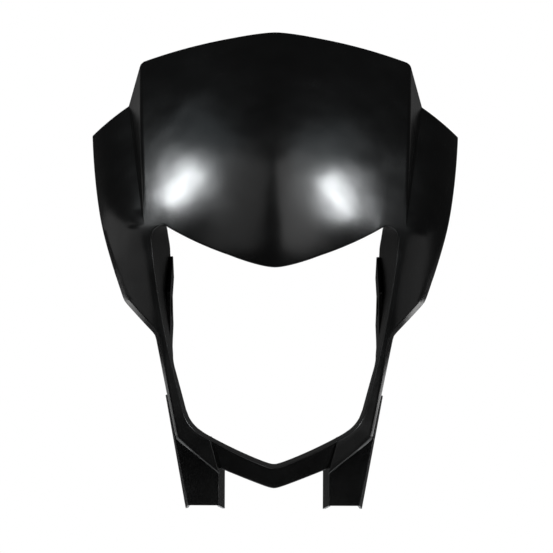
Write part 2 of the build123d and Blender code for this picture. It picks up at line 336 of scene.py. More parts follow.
# %% The wing's and the strap's outer edge
WING_TIP = (0.1828, 0.1675)
WING_BELLY = (0.1682, 0.093)
WING_HEEL = (0.1385, 0.005)
STRAP_SHOULDER = (0.1075, -0.025)
STRAP_END = (0.049, -0.147)
HEEL_RADIUS = 0.014
SHOULDER_RADIUS = 0.010
FOOT_RADIUS = 0.006
WING_EDGE_STEPS = 120
BEFORE_HEEL = 20  # steps back along the edge to a point that gives its direction
CORNER_STEPS = 12
FOOT_STEPS = 8
STRAP_EDGE_STEPS = 40
CHIN_EDGE_STEPS = 20

wing_edge = arc(WING_TIP, WING_BELLY, WING_HEEL, WING_EDGE_STEPS)
heel = rounded(wing_edge[-BEFORE_HEEL], WING_HEEL, STRAP_SHOULDER, HEEL_RADIUS, CORNER_STEPS)
shoulder = rounded(WING_HEEL, STRAP_SHOULDER, STRAP_FOOT, SHOULDER_RADIUS, CORNER_STEPS)
foot = rounded(STRAP_SHOULDER, STRAP_FOOT, STRAP_END, FOOT_RADIUS, FOOT_STEPS)
wing_edge = [point for point in wing_edge if point[1] > heel[0][1]]
strap_edge = [mix(shoulder[-1], foot[0], share) for share in steps(STRAP_EDGE_STEPS)]
chin_edge = [mix(foot[-1], STRAP_END, share) for share in steps(CHIN_EDGE_STEPS)]
outer_edge = wing_edge + heel + shoulder + strap_edge + foot + chin_edge
print("outer edge has", len(outer_edge), "points")

# %% The lamp opening's edges
SHOULDER_SAG = 0.0035
OPENING_HEIGHTS = (LIP_END[1], 0.0624, -0.004, -0.050)  # lip's end, shoulder, waist and knee
FACE_SIDE = list(zip((LIP_END[0], 0.1118, 0.1018, 0.0915), OPENING_HEIGHTS))
BACK_SIDE = list(zip((0.0845, 0.0965, 0.0988, 0.0985), OPENING_HEIGHTS))
OPENING_FOOT = (0.0773, -0.1055)
OPENING_CHIN = (0.0, -0.141)
OPENING_FOOT_RADIUS = 0.030
CHIN_SAG = 0.0019
CHIN_ROUND = 0.004  # how far the chin's point is rounded off
CHIN_BACK_Y = -0.071  # back edge of the chin bar
CHIN_STEP = (0.0574, -0.112)  # where the step from strap to chin bar meets the opening
CHIN_LINE_STEPS = 200
PAST_FOOT = 60  # steps along the chin line to a point that gives its direction
SHOULDER_ROWS = 6
SIDE_ROWS = 32
KNEE_ROWS = 10
FOOT_ROWS = 10
CHIN_ROWS = 6

chin_line = arc(OPENING_FOOT, belly(OPENING_CHIN, OPENING_FOOT, CHIN_SAG), OPENING_CHIN, CHIN_LINE_STEPS)


def strap_end_x(z):
    """X of the strap's end, at the step to the chin bar."""
    return straight(z, STRAP_END[::-1], CHIN_STEP[::-1])


def opening_side(lip_end, high, waist, knee):
    """Side of the opening from the lip's end down to the chin bar."""
    corner = arc(lip_end, belly(lip_end, high, -SHOULDER_SAG), high, SHOULDER_ROWS)
    side = arc(high, waist, knee, SIDE_ROWS)
    turn = rounded(knee, OPENING_FOOT, chin_line[PAST_FOOT], OPENING_FOOT_RADIUS, FOOT_ROWS)
    run = [mix(knee, turn[0], share) for share in steps(KNEE_ROWS)]
    tail = [turn[-1]] + [point for point in chin_line if strap_end_x(point[1]) < point[0] < turn[-1][0]]
    chin = [point_at(tail, share) for share in steps(CHIN_ROWS)]
    return corner + side[1:] + run[1:] + turn[1:] + chin[1:]


face_side = opening_side(*FACE_SIDE)
back_side = opening_side(*BACK_SIDE)
print("opening side has", len(face_side), "rows and ends at", face_side[-1])

# %% [markdown]
# ## The skin as a flat pattern
# The front skin starts as a flat pattern in the plane of the front view, like a sheet before it goes into
# the press. Each flat point carries its form, hood or wing. The walls that fold back from the edges, such
# as the rims and the wall round the lamp, are placed at their real depth and aren't pressed.

# %% Sheets
SAME_POINT = 1e-6  # points this close are welded


class Sheet:
    """Collects grids of points into one mesh."""

    def __init__(self):
        self.mesh = bmesh.new()
        self.form = self.mesh.verts.layers.float.new("form")
        self.pressed = self.mesh.verts.layers.float.new("pressed")
        self.patch = self.mesh.faces.layers.int.new("patch")
        self.patches = 0

    def point(self, place):
        """A point (x, y, z), or (x, z, form, "flat") for one that is still to be pressed."""
        if place[-1] == "flat":
            vertex = self.mesh.verts.new((place[0], 0, place[1]))
            vertex[self.form] = place[2]
            vertex[self.pressed] = 1
        else:
            vertex = self.mesh.verts.new(place)
        return vertex

    def grid(self, rows, closed=False):
        """Adds a grid of faces. A closed one joins its last row to its first."""
        made = [[self.point(place) for place in row] for row in rows]
        if closed:
            made.append(made[0])
        self.patches += 1
        for low, high in zip(made, made[1:]):
            for corners in zip(low, low[1:], high[1:], high):
                self.mesh.faces.new(corners)[self.patch] = self.patches

    def finish(self, name):
        """Welds the grids into one mesh and turns all its faces to one side."""
        bmesh.ops.remove_doubles(self.mesh, verts=self.mesh.verts, dist=SAME_POINT)
        bmesh.ops.recalc_face_normals(self.mesh, faces=self.mesh.faces)
        mesh = bpy.data.meshes.new(name)
        self.mesh.to_mesh(mesh)
        self.mesh.free()
        mesh.shade_smooth()
        return add_object(name, mesh)


def flat(place, form):
    """A point of the pattern that the press will move."""
    return place[0], place[1], form, "flat"


def deep(place, y):
    """A point of a wall, already at its depth."""
    return place[0], y, place[1]


print("sheets can be made")

# %% The hood and the step beside it
HOOD_ROWS = 80
LIP_COLUMNS = 48
SEAM_COLUMNS = 5
FOOT_FADE = 0.016  # distance over which the hood's form fades out round the crease's foot

skin = Sheet()
seam = [mix(LIP_END, CREASE_FOOT, share) for share in steps(SEAM_COLUMNS)]
hood_low = [point_at(lip, share) for share in steps(LIP_COLUMNS)] + seam[1:]
hood_high = [point_at(top, place[0] / CREASE_FOOT[0]) for place in hood_low]
skin.grid([[flat(mix(a, b, v), 0) for a, b in zip(hood_low, hood_high)] for v in steps(HOOD_ROWS)])


def crease(v):
    """Point of the crease at a row's share of the hood's height."""
    return mix(CREASE_FOOT, top[-1], v)


def step_base(v):
    """Point at the foot of the step beside the crease."""
    return mix(CREASE_FOOT, NOTCH, v)


def wing_form(place, root):
    """Form of a place beside the hood: close to the crease's foot it is still partly hood."""
    up = rise(place[1] - CREASE_FOOT[1], 0, FOOT_FADE)
    out = rise(place[0] - root[0], 0, FOOT_FADE)
    return 1 - (1 - up) * (1 - out)


step_rows = []
for v in steps(HOOD_ROWS):
    base = step_base(v)
    step_rows.append([flat(crease(v), 0), flat(base, wing_form(base, base))])
skin.grid(step_rows)
print("hood grid", len(hood_low), "by", len(step_rows))

# %% The upper wing
WING_COLUMNS = 10
WING_BAND = 0.001  # width of the bevel at the wing's tip
# Changes of this width at cheek, strap and chin, with the heights between which each comes in
BAND_CHANGES = [(0.0038, 0.005, 0.095), (-0.0018, -0.070, -0.020), (-0.0014, -0.132, -0.112)]
EDGE_STEP = 0.004  # share of the outer edge, on both sides of a point, that gives its direction
CHEEK_EDGE = (0.164, CREASE_FOOT[1])


def band_width(z):
    """Width of the bevel, seen from the front."""
    return WING_BAND + sum(change * (1 - rise(z, low, high)) for change, low, high in BAND_CHANGES)


def edge_and_inset(share):
    """Point of the outer edge, and the point where the bevel beside it starts."""
    place = point_at(outer_edge, share)
    before = point_at(outer_edge, max(share - EDGE_STEP, 0))
    after = point_at(outer_edge, min(share + EDGE_STEP, 1))
    ahead = Vector((after[0] - before[0], after[1] - before[1])).normalized()
    width = band_width(place[1])
    return place, (place[0] + ahead.y * width, place[1] - ahead.x * width)


cheek_share = share_of(outer_edge, CHEEK_EDGE)


def wing_outer(v):
    """Share of the outer edge at a row of the upper wing."""
    return cheek_share * (1 - v)


wing_rows = []
for v in steps(HOOD_ROWS):
    inset = edge_and_inset(wing_outer(v))[1]
    places = [mix(step_base(v), inset, u) for u in steps(WING_COLUMNS)]
    wing_rows.append([flat(place, wing_form(place, places[0])) for place in places])
skin.grid(wing_rows)
print("wing grid", WING_COLUMNS + 1, "by", len(wing_rows))

# %% The cheek and the strap
AT_HEEL = SHOULDER_ROWS + 15  # row across from the heel
AT_STRAP = SHOULDER_ROWS + 26  # row across from the strap's shoulder
AT_KNEE = SHOULDER_ROWS + SIDE_ROWS
AT_FOOT = AT_KNEE + KNEE_ROWS
LAST_ROW = len(face_side) - 1
# Rows of the opening's side, each with the outer edge's place across from it
RUNGS = [
    (0, CHEEK_EDGE),
    (SHOULDER_ROWS, (0.162, 0.058)),
    (AT_HEEL, heel[CORNER_STEPS // 2]),
    (AT_STRAP, shoulder[CORNER_STEPS // 2]),
    (AT_KNEE, (0.1022, OPENING_HEIGHTS[-1])),
    (AT_FOOT, (0.0912, -0.100)),
    (AT_FOOT + FOOT_ROWS // 2, foot[FOOT_STEPS // 2]),
    (LAST_ROW, STRAP_END),
]
rungs = [(row, share_of(outer_edge, place)) for row, place in RUNGS]


def strap_outer(row):
    """Share of the outer edge across from a row of the opening's side."""
    for low, high in zip(rungs, rungs[1:]):
        if row <= high[0]:
            return straight(row, low, high)


print("outer edge's shares at the rungs", [round(share, 3) for row, share in rungs])

# %% Grid of the cheek and the strap
STRAP_MARGIN = 0.25  # share of the narrow strap's width, at each edge, without columns
NARROW_FROM = SHOULDER_ROWS + 4  # row at which the columns start to close up
NARROW_TO = SHOULDER_ROWS + 24
HOOD_FADE = 0.026  # height over which the hood's form fades out below the seam

first_row = seam + [mix(CREASE_FOOT, edge_and_inset(cheek_share)[1], u) for u in steps(WING_COLUMNS)][1:]
width = first_row[-1][0] - first_row[0][0]
spacing = [(place[0] - first_row[0][0]) / width for place in first_row]
inside = [between(STRAP_MARGIN, 1 - STRAP_MARGIN, share) for share in steps(len(spacing) - 3)]
strap_spacing = [0.0] + inside + [1.0]

strap_rows = []
for row, inner in enumerate(face_side):
    inset = edge_and_inset(strap_outer(row))[1]
    narrow = rise(row, NARROW_FROM, NARROW_TO)
    shares = [between(wide, close, narrow) for wide, close in zip(spacing, strap_spacing)]
    places = [mix(inner, inset, share) for share in shares] if row else first_row
    fade = rise(CREASE_FOOT[1] - inner[1], 0.0, HOOD_FADE)
    root = places[SEAM_COLUMNS][0]
    forms = [1 - (1 - fade) * (1 - rise(place[0] - root, 0, FOOT_FADE)) for place in places]
    strap_rows.append([flat(place, form) for place, form in zip(places, forms)])
skin.grid(strap_rows)
print("cheek and strap grid", len(spacing), "by", len(face_side))

# %% The bevel band and the rim
BAND_DEPTH = 0.0045
WING_RIM = 0.014
STRAP_RIM = 0.038
RIM_LOW_Z = -0.060
RIM_HIGH_Z = 0.020
RIM_STEPS = 3


def rim_depth(z):
    """Depth of the rim behind the skin."""
    return between(STRAP_RIM, WING_RIM, rise(z, RIM_LOW_Z, RIM_HIGH_Z))


def rim_row(share):
    """From the skin over the bevel band and straight back."""
    edge, inset = edge_and_inset(share)
    y = wing_depth(*edge, SIZES)
    depths = [between(BAND_DEPTH, rim_depth(edge[1]), step) for step in steps(RIM_STEPS)]
    return [flat(inset, 1)] + [deep(edge, y + depth) for depth in depths]


rim_shares = [wing_outer(v) for v in reversed(steps(HOOD_ROWS))]
rim_shares += [strap_outer(row) for row in range(1, len(face_side))]
rim_rows = [rim_row(share) for share in rim_shares]
skin.grid([row[:2] for row in rim_rows])
skin.grid([row[1:] for row in rim_rows])
print("rim runs past", len(rim_shares), "rows")

# %% The wall round the lamp
# Corners of the lobed back edge seen from the side: depth and height
LOBES = [
    (0.016, 0.047),
    (0.030, 0.027),
    (0.014, 0.009),
    (0.018, -0.004),
    (0.026, -0.019),
    (0.016, -0.034),
    (0.012, -0.047),
]
WALL_BACK = [(-0.005, 0.076), (0.013, 0.057)] + LOBES + [(-0.048, -0.053)]
OPENING_FACE_Y = -0.070  # up to here the wall keeps the front outline
OPENING_BACK_Y = 0.040  # from here on it has the back outline
WALL_STEPS = 10
LIP_RETURN = 0.007  # depth of the lip's underside
CHIN_FROM = LAST_ROW - CHIN_ROWS - FOOT_ROWS  # row at which the back edge starts to run to the chin bar's


def wall_back(z, front):
    """Y of the wall's lobed back edge, or of the strap's rim further down."""
    for high, low in zip(WALL_BACK, WALL_BACK[1:]):
        if low[1] <= z <= high[1]:
            return straight(z, low[::-1], high[::-1])
    return front + rim_depth(z)


def wall_row(row):
    """From the skin back along the wall, which closes in towards its back outline."""
    face, back = face_side[row], back_side[row]
    form = strap_rows[row][0][2]
    front = skin_depth(*face, form, SIZES)
    full = wall_back(face[1], front)
    grown = min(row / SHOULDER_ROWS, 1)
    end = front + LIP_RETURN + (full - front - LIP_RETURN) * grown * (2 - grown)
    end = between(end, CHIN_BACK_Y, rise(row, CHIN_FROM, LAST_ROW))
    places = [flat(face, form)]
    for step in steps(WALL_STEPS)[1:]:
        y = between(front, end, step)
        closed_in = min(max((y - OPENING_FACE_Y) / (OPENING_BACK_Y - OPENING_FACE_Y), 0), 1)
        places.append(deep(mix(face, back, closed_in), y))
    return places


skin.grid([wall_row(row) for row in range(len(face_side))])
print("wall runs past", len(face_side), "rows")

# %% The lip's underside and the strap's end
LIP_RETURN_STEPS = 2

lip_places = hood_low[:LIP_COLUMNS + 1]
lip_depths = [skin_depth(*place, 0, SIZES) for place in lip_places]
lip_rows = [[flat(place, 0) for place in lip_places]]
for step in steps(LIP_RETURN_STEPS)[1:]:
    lip_rows.append([deep(place, y + LIP_RETURN * step) for place, y in zip(lip_places, lip_depths)])
skin.grid(lip_rows)

end_row = [place[:2] for place in strap_rows[-1]] + [STRAP_END]
end_y = wing_depth(*STRAP_END, SIZES)
end_front = strap_rows[-1] + [deep(STRAP_END, end_y + BAND_DEPTH)]
end_depths = [between(CHIN_BACK_Y, end_y + STRAP_RIM, share) for share in steps(len(end_row) - 1)]
skin.grid([end_front, [deep(place, y) for place, y in zip(end_row, end_depths)]])
pattern = skin.finish("cowl_skin")
print("flat pattern has", len(pattern.data.vertices), "points")

# %% [markdown]
# ## Pressing the pattern
# Geometry Nodes press the flat pattern: each flat point keeps its place in the front view and moves to the
# depth that the rule gives. The rule is the one above, now fed with wires, and its sizes are inputs of the
# tree, so the hood can be made flatter or the keel sharper in the modifier panel before it is applied.

# %% The press
def press_tree():
    """Node tree that moves each flat point to the depth of its rule."""
    tree = bpy.data.node_groups.new("press_cowl", "GeometryNodeTree")
    tree.interface.new_socket("Geometry", in_out="INPUT", socket_type="NodeSocketGeometry")
    tree.interface.new_socket("Geometry", in_out="OUTPUT", socket_type="NodeSocketGeometry")
    for name in SIZES:
        tree.interface.new_socket(name, in_out="INPUT", socket_type="NodeSocketFloat")
    tree.interface.new_socket("Material", in_out="INPUT", socket_type="NodeSocketMaterial")
    add, link = tree.nodes.new, tree.links.new
    given = add("NodeGroupInput")
    result = add("NodeGroupOutput")
    place = add("ShaderNodeSeparateXYZ")
    link(add("GeometryNodeInputPosition").outputs[0], place.inputs[0])
    reads = {}
    for name in ("form", "pressed"):
        reads[name] = add("GeometryNodeInputNamedAttribute")
        reads[name].data_type = "FLOAT"
        reads[name].inputs["Name"].default_value = name
    size = {name: Wire(tree, given.outputs[name]) for name in SIZES}
    x, z = Wire(tree, place.outputs["X"]), Wire(tree, place.outputs["Z"])
    depth = skin_depth(x, z, Wire(tree, reads["form"].outputs["Attribute"]), size)
    pressed = add("ShaderNodeCombineXYZ")
    for socket, wire in zip(pressed.inputs, (x, depth, z)):
        link(wire.socket, socket)
    move = add("GeometryNodeSetPosition")
    real = add("GeometryNodeRealizeInstances")
    paint = add("GeometryNodeSetMaterial")
    chain = (given, move, real, paint, result)
    for node, following in zip(chain, chain[1:]):
        link(node.outputs["Geometry"], following.inputs["Geometry"])
    link(reads["pressed"].outputs["Attribute"], move.inputs["Selection"])
    link(pressed.outputs[0], move.inputs["Position"])
    link(given.outputs["Material"], paint.inputs["Material"])
    return tree


print("press has", len(SIZES), "sizes")

# %% Pressing
def set_inputs(modifier, values):
    """Sets a modifier's inputs, which go by identifiers, by their names in the tree."""
    for item in modifier.node_group.interface.items_tree:
        if item.item_type == "SOCKET" and item.in_out == "INPUT" and item.name in values:
            modifier[item.identifier] = values[item.name]


def make_plain(piece):
    """Replaces a piece's mesh by what its modifiers make of it."""
    evaluated = piece.evaluated_get(bpy.context.evaluated_depsgraph_get())
    mesh = bpy.data.meshes.new_from_object(evaluated)
    piece.modifiers.clear()
    piece.data = mesh
    mesh.name = piece.name


black_plastic = bpy.data.materials.new("black_plastic")
inner_plastic = bpy.data.materials.new("inner_plastic")
press = pattern.modifiers.new("press", "NODES")
press.node_group = press_tree()
set_inputs(press, {**SIZES, "Material": black_plastic})
make_plain(pattern)
print("pressed skin from", [round(min(v.co[i] for v in pattern.data.vertices), 4) for i in range(3)])

# %% [markdown]
# ## Wall thickness and soft edges
# The moulding is about two and a half millimetres thick, thinner on the narrow straps, and has no knife
# edges. Mirror makes the left half, Solidify gives the wall, and Bevel rounds the marked edges. Each edge
# carries its own radius as a share of the largest one, which belongs to the hood's crease.

# %% Marks on the edges
CREASE_RADIUS = 0.003
EDGE_RADIUS = 0.0009
RIM_RADIUS = 0.0004
FOLD_ANGLE = radians(24)
RIM_ANGLE = radians(60)


def mark_folds(piece, radius_at):
    """Gives each folded edge its share of the largest radius as a bevel weight."""
    shape = bmesh.new()
    shape.from_mesh(piece.data)
    weight = shape.edges.layers.float.new("bevel_weight_edge")
    patch = shape.faces.layers.int["patch"]
    for edge in shape.edges:
        patches = {face[patch] for face in edge.link_faces}
        if len(patches) == 2 and edge.calc_face_angle(0) > FOLD_ANGLE:
            edge[weight] = radius_at((edge.verts[0].co + edge.verts[1].co) / 2) / CREASE_RADIUS
    shape.to_mesh(piece.data)
    shape.free()


def mark_rims(piece):
    """Marks the wall's cut edges and clears the inner shell, which has the second material."""
    shape = bmesh.new()
    shape.from_mesh(piece.data)
    weight = shape.edges.layers.float["bevel_weight_edge"]
    for edge in shape.edges:
        if all(face.material_index == 1 for face in edge.link_faces):
            edge[weight] = 0
        elif edge[weight] == 0 and edge.calc_face_angle(0) > RIM_ANGLE:
            edge[weight] = RIM_RADIUS / CREASE_RADIUS
    shape.to_mesh(piece.data)
    shape.free()


print("folds over", round(degrees(FOLD_ANGLE)), "degrees are rounded")

# %% Finish of a sheet
WALL = 0.0026
THIN_SHARE = 0.45  # share of the full wall that the narrow strap has
THIN_Z = -0.030  # below this height the strap is thin
FULL_Z = 0.015  # above this height the wall is full
MIRROR_WELD = 1e-5
BEVEL_STEPS = 3


def face_front(piece, probe):
    """Turns a sheet round if the face nearest to a place doesn't point to the front."""
    nearest = min(piece.data.polygons, key=lambda face: (face.center - Vector(probe)).length)
    if nearest.normal.y > 0:
        piece.data.flip_normals()


def wall_share(place):
    """Share of the full wall at a place: the narrow strap is thinner."""
    return between(THIN_SHARE, 1, rise(place.z, THIN_Z, FULL_Z))


def soften(piece, method, width, segments):
    """Rounds the edges that a method picks, and shades the faces between them evenly."""
    bevel = piece.modifiers.new("soft edges", "BEVEL")
    bevel.limit_method = method
    bevel.width = width
    bevel.segments = segments
    bevel.use_clamp_overlap = False
    piece.modifiers.new("shading", "WEIGHTED_NORMAL")
    return bevel


def finish_sheet(piece, probe, radius_at=lambda place: EDGE_RADIUS, thin_strap=False):
    """Turns a sheet to the front and makes its left half, wall and soft edges."""
    face_front(piece, probe)
    mark_folds(piece, radius_at)
    piece.data.materials.clear()
    piece.data.materials.append(black_plastic)
    piece.data.materials.append(inner_plastic)
    mirror = piece.modifiers.new("left half", "MIRROR")
    mirror.merge_threshold = MIRROR_WELD
    solid = piece.modifiers.new("wall", "SOLIDIFY")
    solid.thickness = WALL
    solid.offset = -1
    solid.material_offset = 1
    if thin_strap:
        group = piece.vertex_groups.new(name="wall")
        for vertex in piece.data.vertices:
            group.add([vertex.index], wall_share(vertex.co), "REPLACE")
        solid.vertex_group = group.name
    make_plain(piece)
    mark_rims(piece)
    soften(piece, "WEIGHT", CREASE_RADIUS, BEVEL_STEPS)


print("walls are", WALL * 1000, "mm thick")

# %% The skin's finish
CREASE_FOOT_RADIUS = 0.00018
CREASE_LOW_Z = 0.078  # height at which the crease's radius starts to grow
CREASE_HIGH_Z = 0.120  # height from which it is full
NEAR_CREASE = 0.001  # an edge this close to the crease's line belongs to it
BAND_SHARE = 0.35  # share of the bevel band's width that a radius may take
HOOD_PLACE = (0, 0.1)  # a place well inside the hood


def skin_radius(place):
    """Radius of a fold of the skin at a place. The crease's radius fades out at its foot."""
    row = (place.z - CREASE_FOOT[1]) / (top[-1][1] - CREASE_FOOT[1])
    if row > 0 and abs(place.x - crease(row)[0]) < NEAR_CREASE:
        return between(CREASE_FOOT_RADIUS, CREASE_RADIUS, rise(place.z, CREASE_LOW_Z, CREASE_HIGH_Z))
    if place.x > CREASE_FOOT[0]:
        return min(EDGE_RADIUS, band_width(place.z) * BAND_SHARE)
    return EDGE_RADIUS


finish_sheet(pattern, deep(HOOD_PLACE, hood_depth(*HOOD_PLACE, SIZES)), skin_radius, thin_strap=True)
print("skin has", len(pattern.data.polygons), "faces before its edges are rounded")

# %% [markdown]
# ## Chin bar
# A bowed bar closes the opening below the lamp. It is a channel, open at the back, set a little behind the
# straps that carry it. Three grids, the upper face, the front and the lower face, meet at its edges. Its
# ends run a little way into the straps. Where they end depends on their height, and the other way round,
# so a few rounds of trying find both.

# %% Chin bar
CHIN_REACH = 0.101
CHIN_END_REACH = 0.0935
CHIN_TIP_Z = -0.1588
CHIN_SLOPE = 0.382
CHIN_OVERLAP = 0.0012
CHIN_COLUMNS = 24
CHIN_FACE_ROWS = 5
CHIN_GUESS = 0.055  # first guess of the bar's half length
CHIN_ROUNDS = 3


def chin_top(x):
    """Height of the opening's lower edge."""
    return height_at(chin_line, blunt(x, CHIN_ROUND, CHIN_STEP[0]))


def chin_low(x):
    """Height of the bar's lower edge."""
    return CHIN_TIP_Z + CHIN_SLOPE * soft_kink(x, CHIN_ROUND)


def chin_face(x):
    """Y of the bar's bowed front."""
    return (CHIN_REACH - CHIN_END_REACH) * (x / CHIN_STEP[0]) ** 2 - CHIN_REACH


def chin_point(share, level):
    """Point of the bar's front: share 1 is its end, level 0 its upper edge."""
    x = share * CHIN_GUESS
    for attempt in range(CHIN_ROUNDS):
        z = between(chin_top(x), chin_low(x), level)
        x = share * (strap_end_x(z) + CHIN_OVERLAP)
    return x, chin_face(x), z


def chin_return(place):
    """From an edge of the front straight back."""
    x, y, z = place
    return [place, (x, (y + CHIN_BACK_Y) / 2, z), (x, CHIN_BACK_Y, z)]


chin = Sheet()
fronts = [[chin_point(share, level) for level in steps(CHIN_FACE_ROWS)] for share in steps(CHIN_COLUMNS)]
chin.grid([chin_return(front[0])[::-1] for front in fronts])
chin.grid(fronts)
chin.grid([chin_return(front[-1]) for front in fronts])
chin_bar = chin.finish("chin_bar")
finish_sheet(chin_bar, fronts[0][CHIN_FACE_ROWS // 2])
print("chin bar", len(chin_bar.data.polygons), "faces")

# %% [markdown]
# ## Legs
# Two channels hang behind the straps and reach below the chin. Their webs face the front, their flanges
# spread towards the back, and a sloping lid closes each one under the lamp.

# %% Rules of the legs
LEG_FRONT = 0.066
LEG_BACK = 0.020
LEG_TOP_Z = -0.083
LEG_WEB_Z = -0.1795
LEG_TIP_Z = -0.1895
LEG_INNER = 0.050
LEG_OUTER_TOP = 0.0972
LEG_OUTER_FOOT = 0.0778
LEG_SPREAD_IN = 0.0042
LEG_SPREAD_OUT = 0.0047
LEG_GAP = 0.002  # from the opening's edge down to the web
LEG_DROP = 0.008  # how much lower the lid is at its back
LEG_ROUNDS = 4


def opening_floor(x):
    """Height of the opening's lower edge, chin and knee together."""
    knee = FACE_SIDE[3]
    climb = (knee[1] - OPENING_FOOT[1]) / (knee[0] - OPENING_FOOT[0])
    return max(chin_top(min(x, OPENING_FOOT[0])), OPENING_FOOT[1] + (x - OPENING_FOOT[0]) * climb)


def leg_foot(back):
    """Height of a leg's lower edge."""
    return between(LEG_WEB_Z, LEG_TIP_Z, back)


def leg_x(across, back, z):
    """X of a leg's wall: across 0 is its inner flange, across 1 its outer one."""
    outer = straight(z, (leg_foot(back), LEG_OUTER_FOOT), (LEG_TOP_Z, LEG_OUTER_TOP))
    inner = LEG_INNER - LEG_SPREAD_IN * back
    return between(inner, outer + LEG_SPREAD_OUT * back, across)


def leg_top(across, back):
    """Highest point of a leg's wall, under the opening."""
    z = LEG_TOP_Z
    for attempt in range(LEG_ROUNDS):
        z = min(LEG_TOP_Z, opening_floor(leg_x(across, back, z)) - LEG_GAP - LEG_DROP * back)
    return z


def leg_point(across, back, down):
    """Point of a leg's wall: back 0 is the web, down 1 the lower edge."""
    z = between(leg_top(across, back), leg_foot(back), down)
    return leg_x(across, back, z), between(-LEG_FRONT, -LEG_BACK, back), z


print("webs end at", LEG_WEB_Z, "and flanges at", LEG_TIP_Z)

# %% Legs
LEG_ROWS = 10
LEG_WEB_COLUMNS = 12
LEG_FLANGE_COLUMNS = 4

leg = Sheet()
across_web = steps(LEG_WEB_COLUMNS)
to_back = steps(LEG_FLANGE_COLUMNS)
inner_flange = [(0, back) for back in reversed(to_back)]
web = [(across, 0) for across in across_web]
outer_flange = [(1, back) for back in to_back]
for wall in (inner_flange, web, outer_flange):
    leg.grid([[leg_point(across, back, down) for across, back in wall] for down in steps(LEG_ROWS)])
leg.grid([[leg_point(across, back, 0) for across in across_web] for back in to_back])
legs = leg.finish("legs")
finish_sheet(legs, leg_point(0.5, 0, 0.5))
print("legs", len(legs.data.polygons), "faces")

# %% [markdown]
# ## Headlight ears
# Inside the wall on each side sits a lobed plate with a cup for the headlight's bolt. Seen along the bolt
# it is star-shaped, so one section can be carried round the bolt's axis: in along the plate's face, into
# the pocket, through the bore, over the cup and out along the plate's other side.

# %% Ears
EAR_INSIDE = 0.0976
EAR_WALL = 0.0035
EAR_OUTLINE = LOBES + [(-0.020, -0.047), (-0.020, 0.013), (0.013, 0.047)]
CUP_RADIUS = 0.0125
POCKET_RADIUS = 0.010
CUP_LENGTH = 0.012
CUP_FLOOR = 0.004
BOLT_RADIUS = 0.00325
EAR_TURNS = 72
EAR_FOLD_ANGLE = radians(40)
EAR_BEVEL_STEPS = 2
SAME_PLACE = 1e-9


def ear_reach(angle):
    """Distance from the bolt's axis to the ear's outline."""
    ray = Vector((cos(angle), sin(angle)))
    reaches = []
    for a, b in zip(EAR_OUTLINE, EAR_OUTLINE[1:] + EAR_OUTLINE[:1]):
        a, side = Vector(a), Vector(b) - Vector(a)
        across = ray.x * side.y - ray.y * side.x
        along = (a.x * ray.y - a.y * ray.x) / across if across else -1
        reach = (a.x * side.y - a.y * side.x) / across if across else -1
        if -SAME_PLACE <= along <= 1 + SAME_PLACE and reach > 0:
            reaches.append(reach)
    return min(reaches)


def ear_section(angle):
    """The ear's section at an angle round the bolt, as a closed line."""
    outline = ear_reach(angle)
    face, floor, end = EAR_INSIDE, EAR_INSIDE + CUP_LENGTH - CUP_FLOOR, EAR_INSIDE + CUP_LENGTH
    plate = EAR_INSIDE + EAR_WALL
    turns = [(face, outline), (face, POCKET_RADIUS), (floor, POCKET_RADIUS), (floor, BOLT_RADIUS)]
    turns += [(end, BOLT_RADIUS), (end, CUP_RADIUS), (plate, CUP_RADIUS), (plate, outline), (face, outline)]
    return [(x, radius * cos(angle), radius * sin(angle)) for x, radius in turns]


turns = [tau * turn / EAR_TURNS for turn in range(EAR_TURNS)]
corners = [atan2(z, y) % tau for y, z in EAR_OUTLINE]
angles = sorted({round(angle, 6) for angle in turns + corners})
ear = Sheet()
ear.grid([ear_section(angle) for angle in angles], closed=True)
ears = ear.finish("ears")
ears.modifiers.new("left ear", "MIRROR")
soften(ears, "ANGLE", RIM_RADIUS, EAR_BEVEL_STEPS).angle_limit = EAR_FOLD_ANGLE
print("ears with", len(angles), "sections")

# %% [markdown]
# ## Stay bosses
# Out of the photograph's sight, two bosses inside the crown take the screws of the stay. Each one stands on
# the hood's skin, so its foot follows the hood's rule, and two ribs brace it above and below.

# %% Stay bosses
STAY_X = 0.060
STAY_Z = 0.226
STAY_FACE = 0.036
STAY_RADIUS = 0.0075
STAY_HOLE_RADIUS = 0.00275
STAY_HOLE_DEPTH = 0.018
RIB_START = 0.003  # distance from the boss's axis at which a rib starts
RIB_REACH = 0.018  # distance at which it ends
RIB_DROP = 0.003  # how far below the boss's face its sloping top starts
RIB_WALL = 0.0025
FOOTING = 0.0015  # how deep bosses and ribs stand in the hood's skin
BOSS_TURNS = 40
RIB_ROWS = 6


def boss_section(angle):
    """From the boss's foot up its side, over its face and down the blind hole."""
    x, z = STAY_X + STAY_RADIUS * cos(angle), STAY_Z + STAY_RADIUS * sin(angle)
    outside = [(x, hood_depth(x, z, SIZES) + FOOTING, z), (x, STAY_FACE, z)]
    x, z = STAY_X + STAY_HOLE_RADIUS * cos(angle), STAY_Z + STAY_HOLE_RADIUS * sin(angle)
    bottom = STAY_FACE - STAY_HOLE_DEPTH
    return outside + [(x, STAY_FACE, z), (x, bottom, z), (STAY_X, bottom, STAY_Z)]


def rib_section(z):
    """Across a rib at a height: its two feet and its two top corners."""
    foot_y = hood_depth(STAY_X, z, SIZES) + FOOTING
    top_y = STAY_FACE - RIB_DROP - (2 * RIB_REACH - RIB_DROP) * abs(z - STAY_Z) / RIB_REACH
    left, right = STAY_X - RIB_WALL / 2, STAY_X + RIB_WALL / 2
    top_y = max(top_y, foot_y)
    return [(left, foot_y, z), (left, top_y, z), (right, top_y, z), (right, foot_y, z), (left, foot_y, z)]


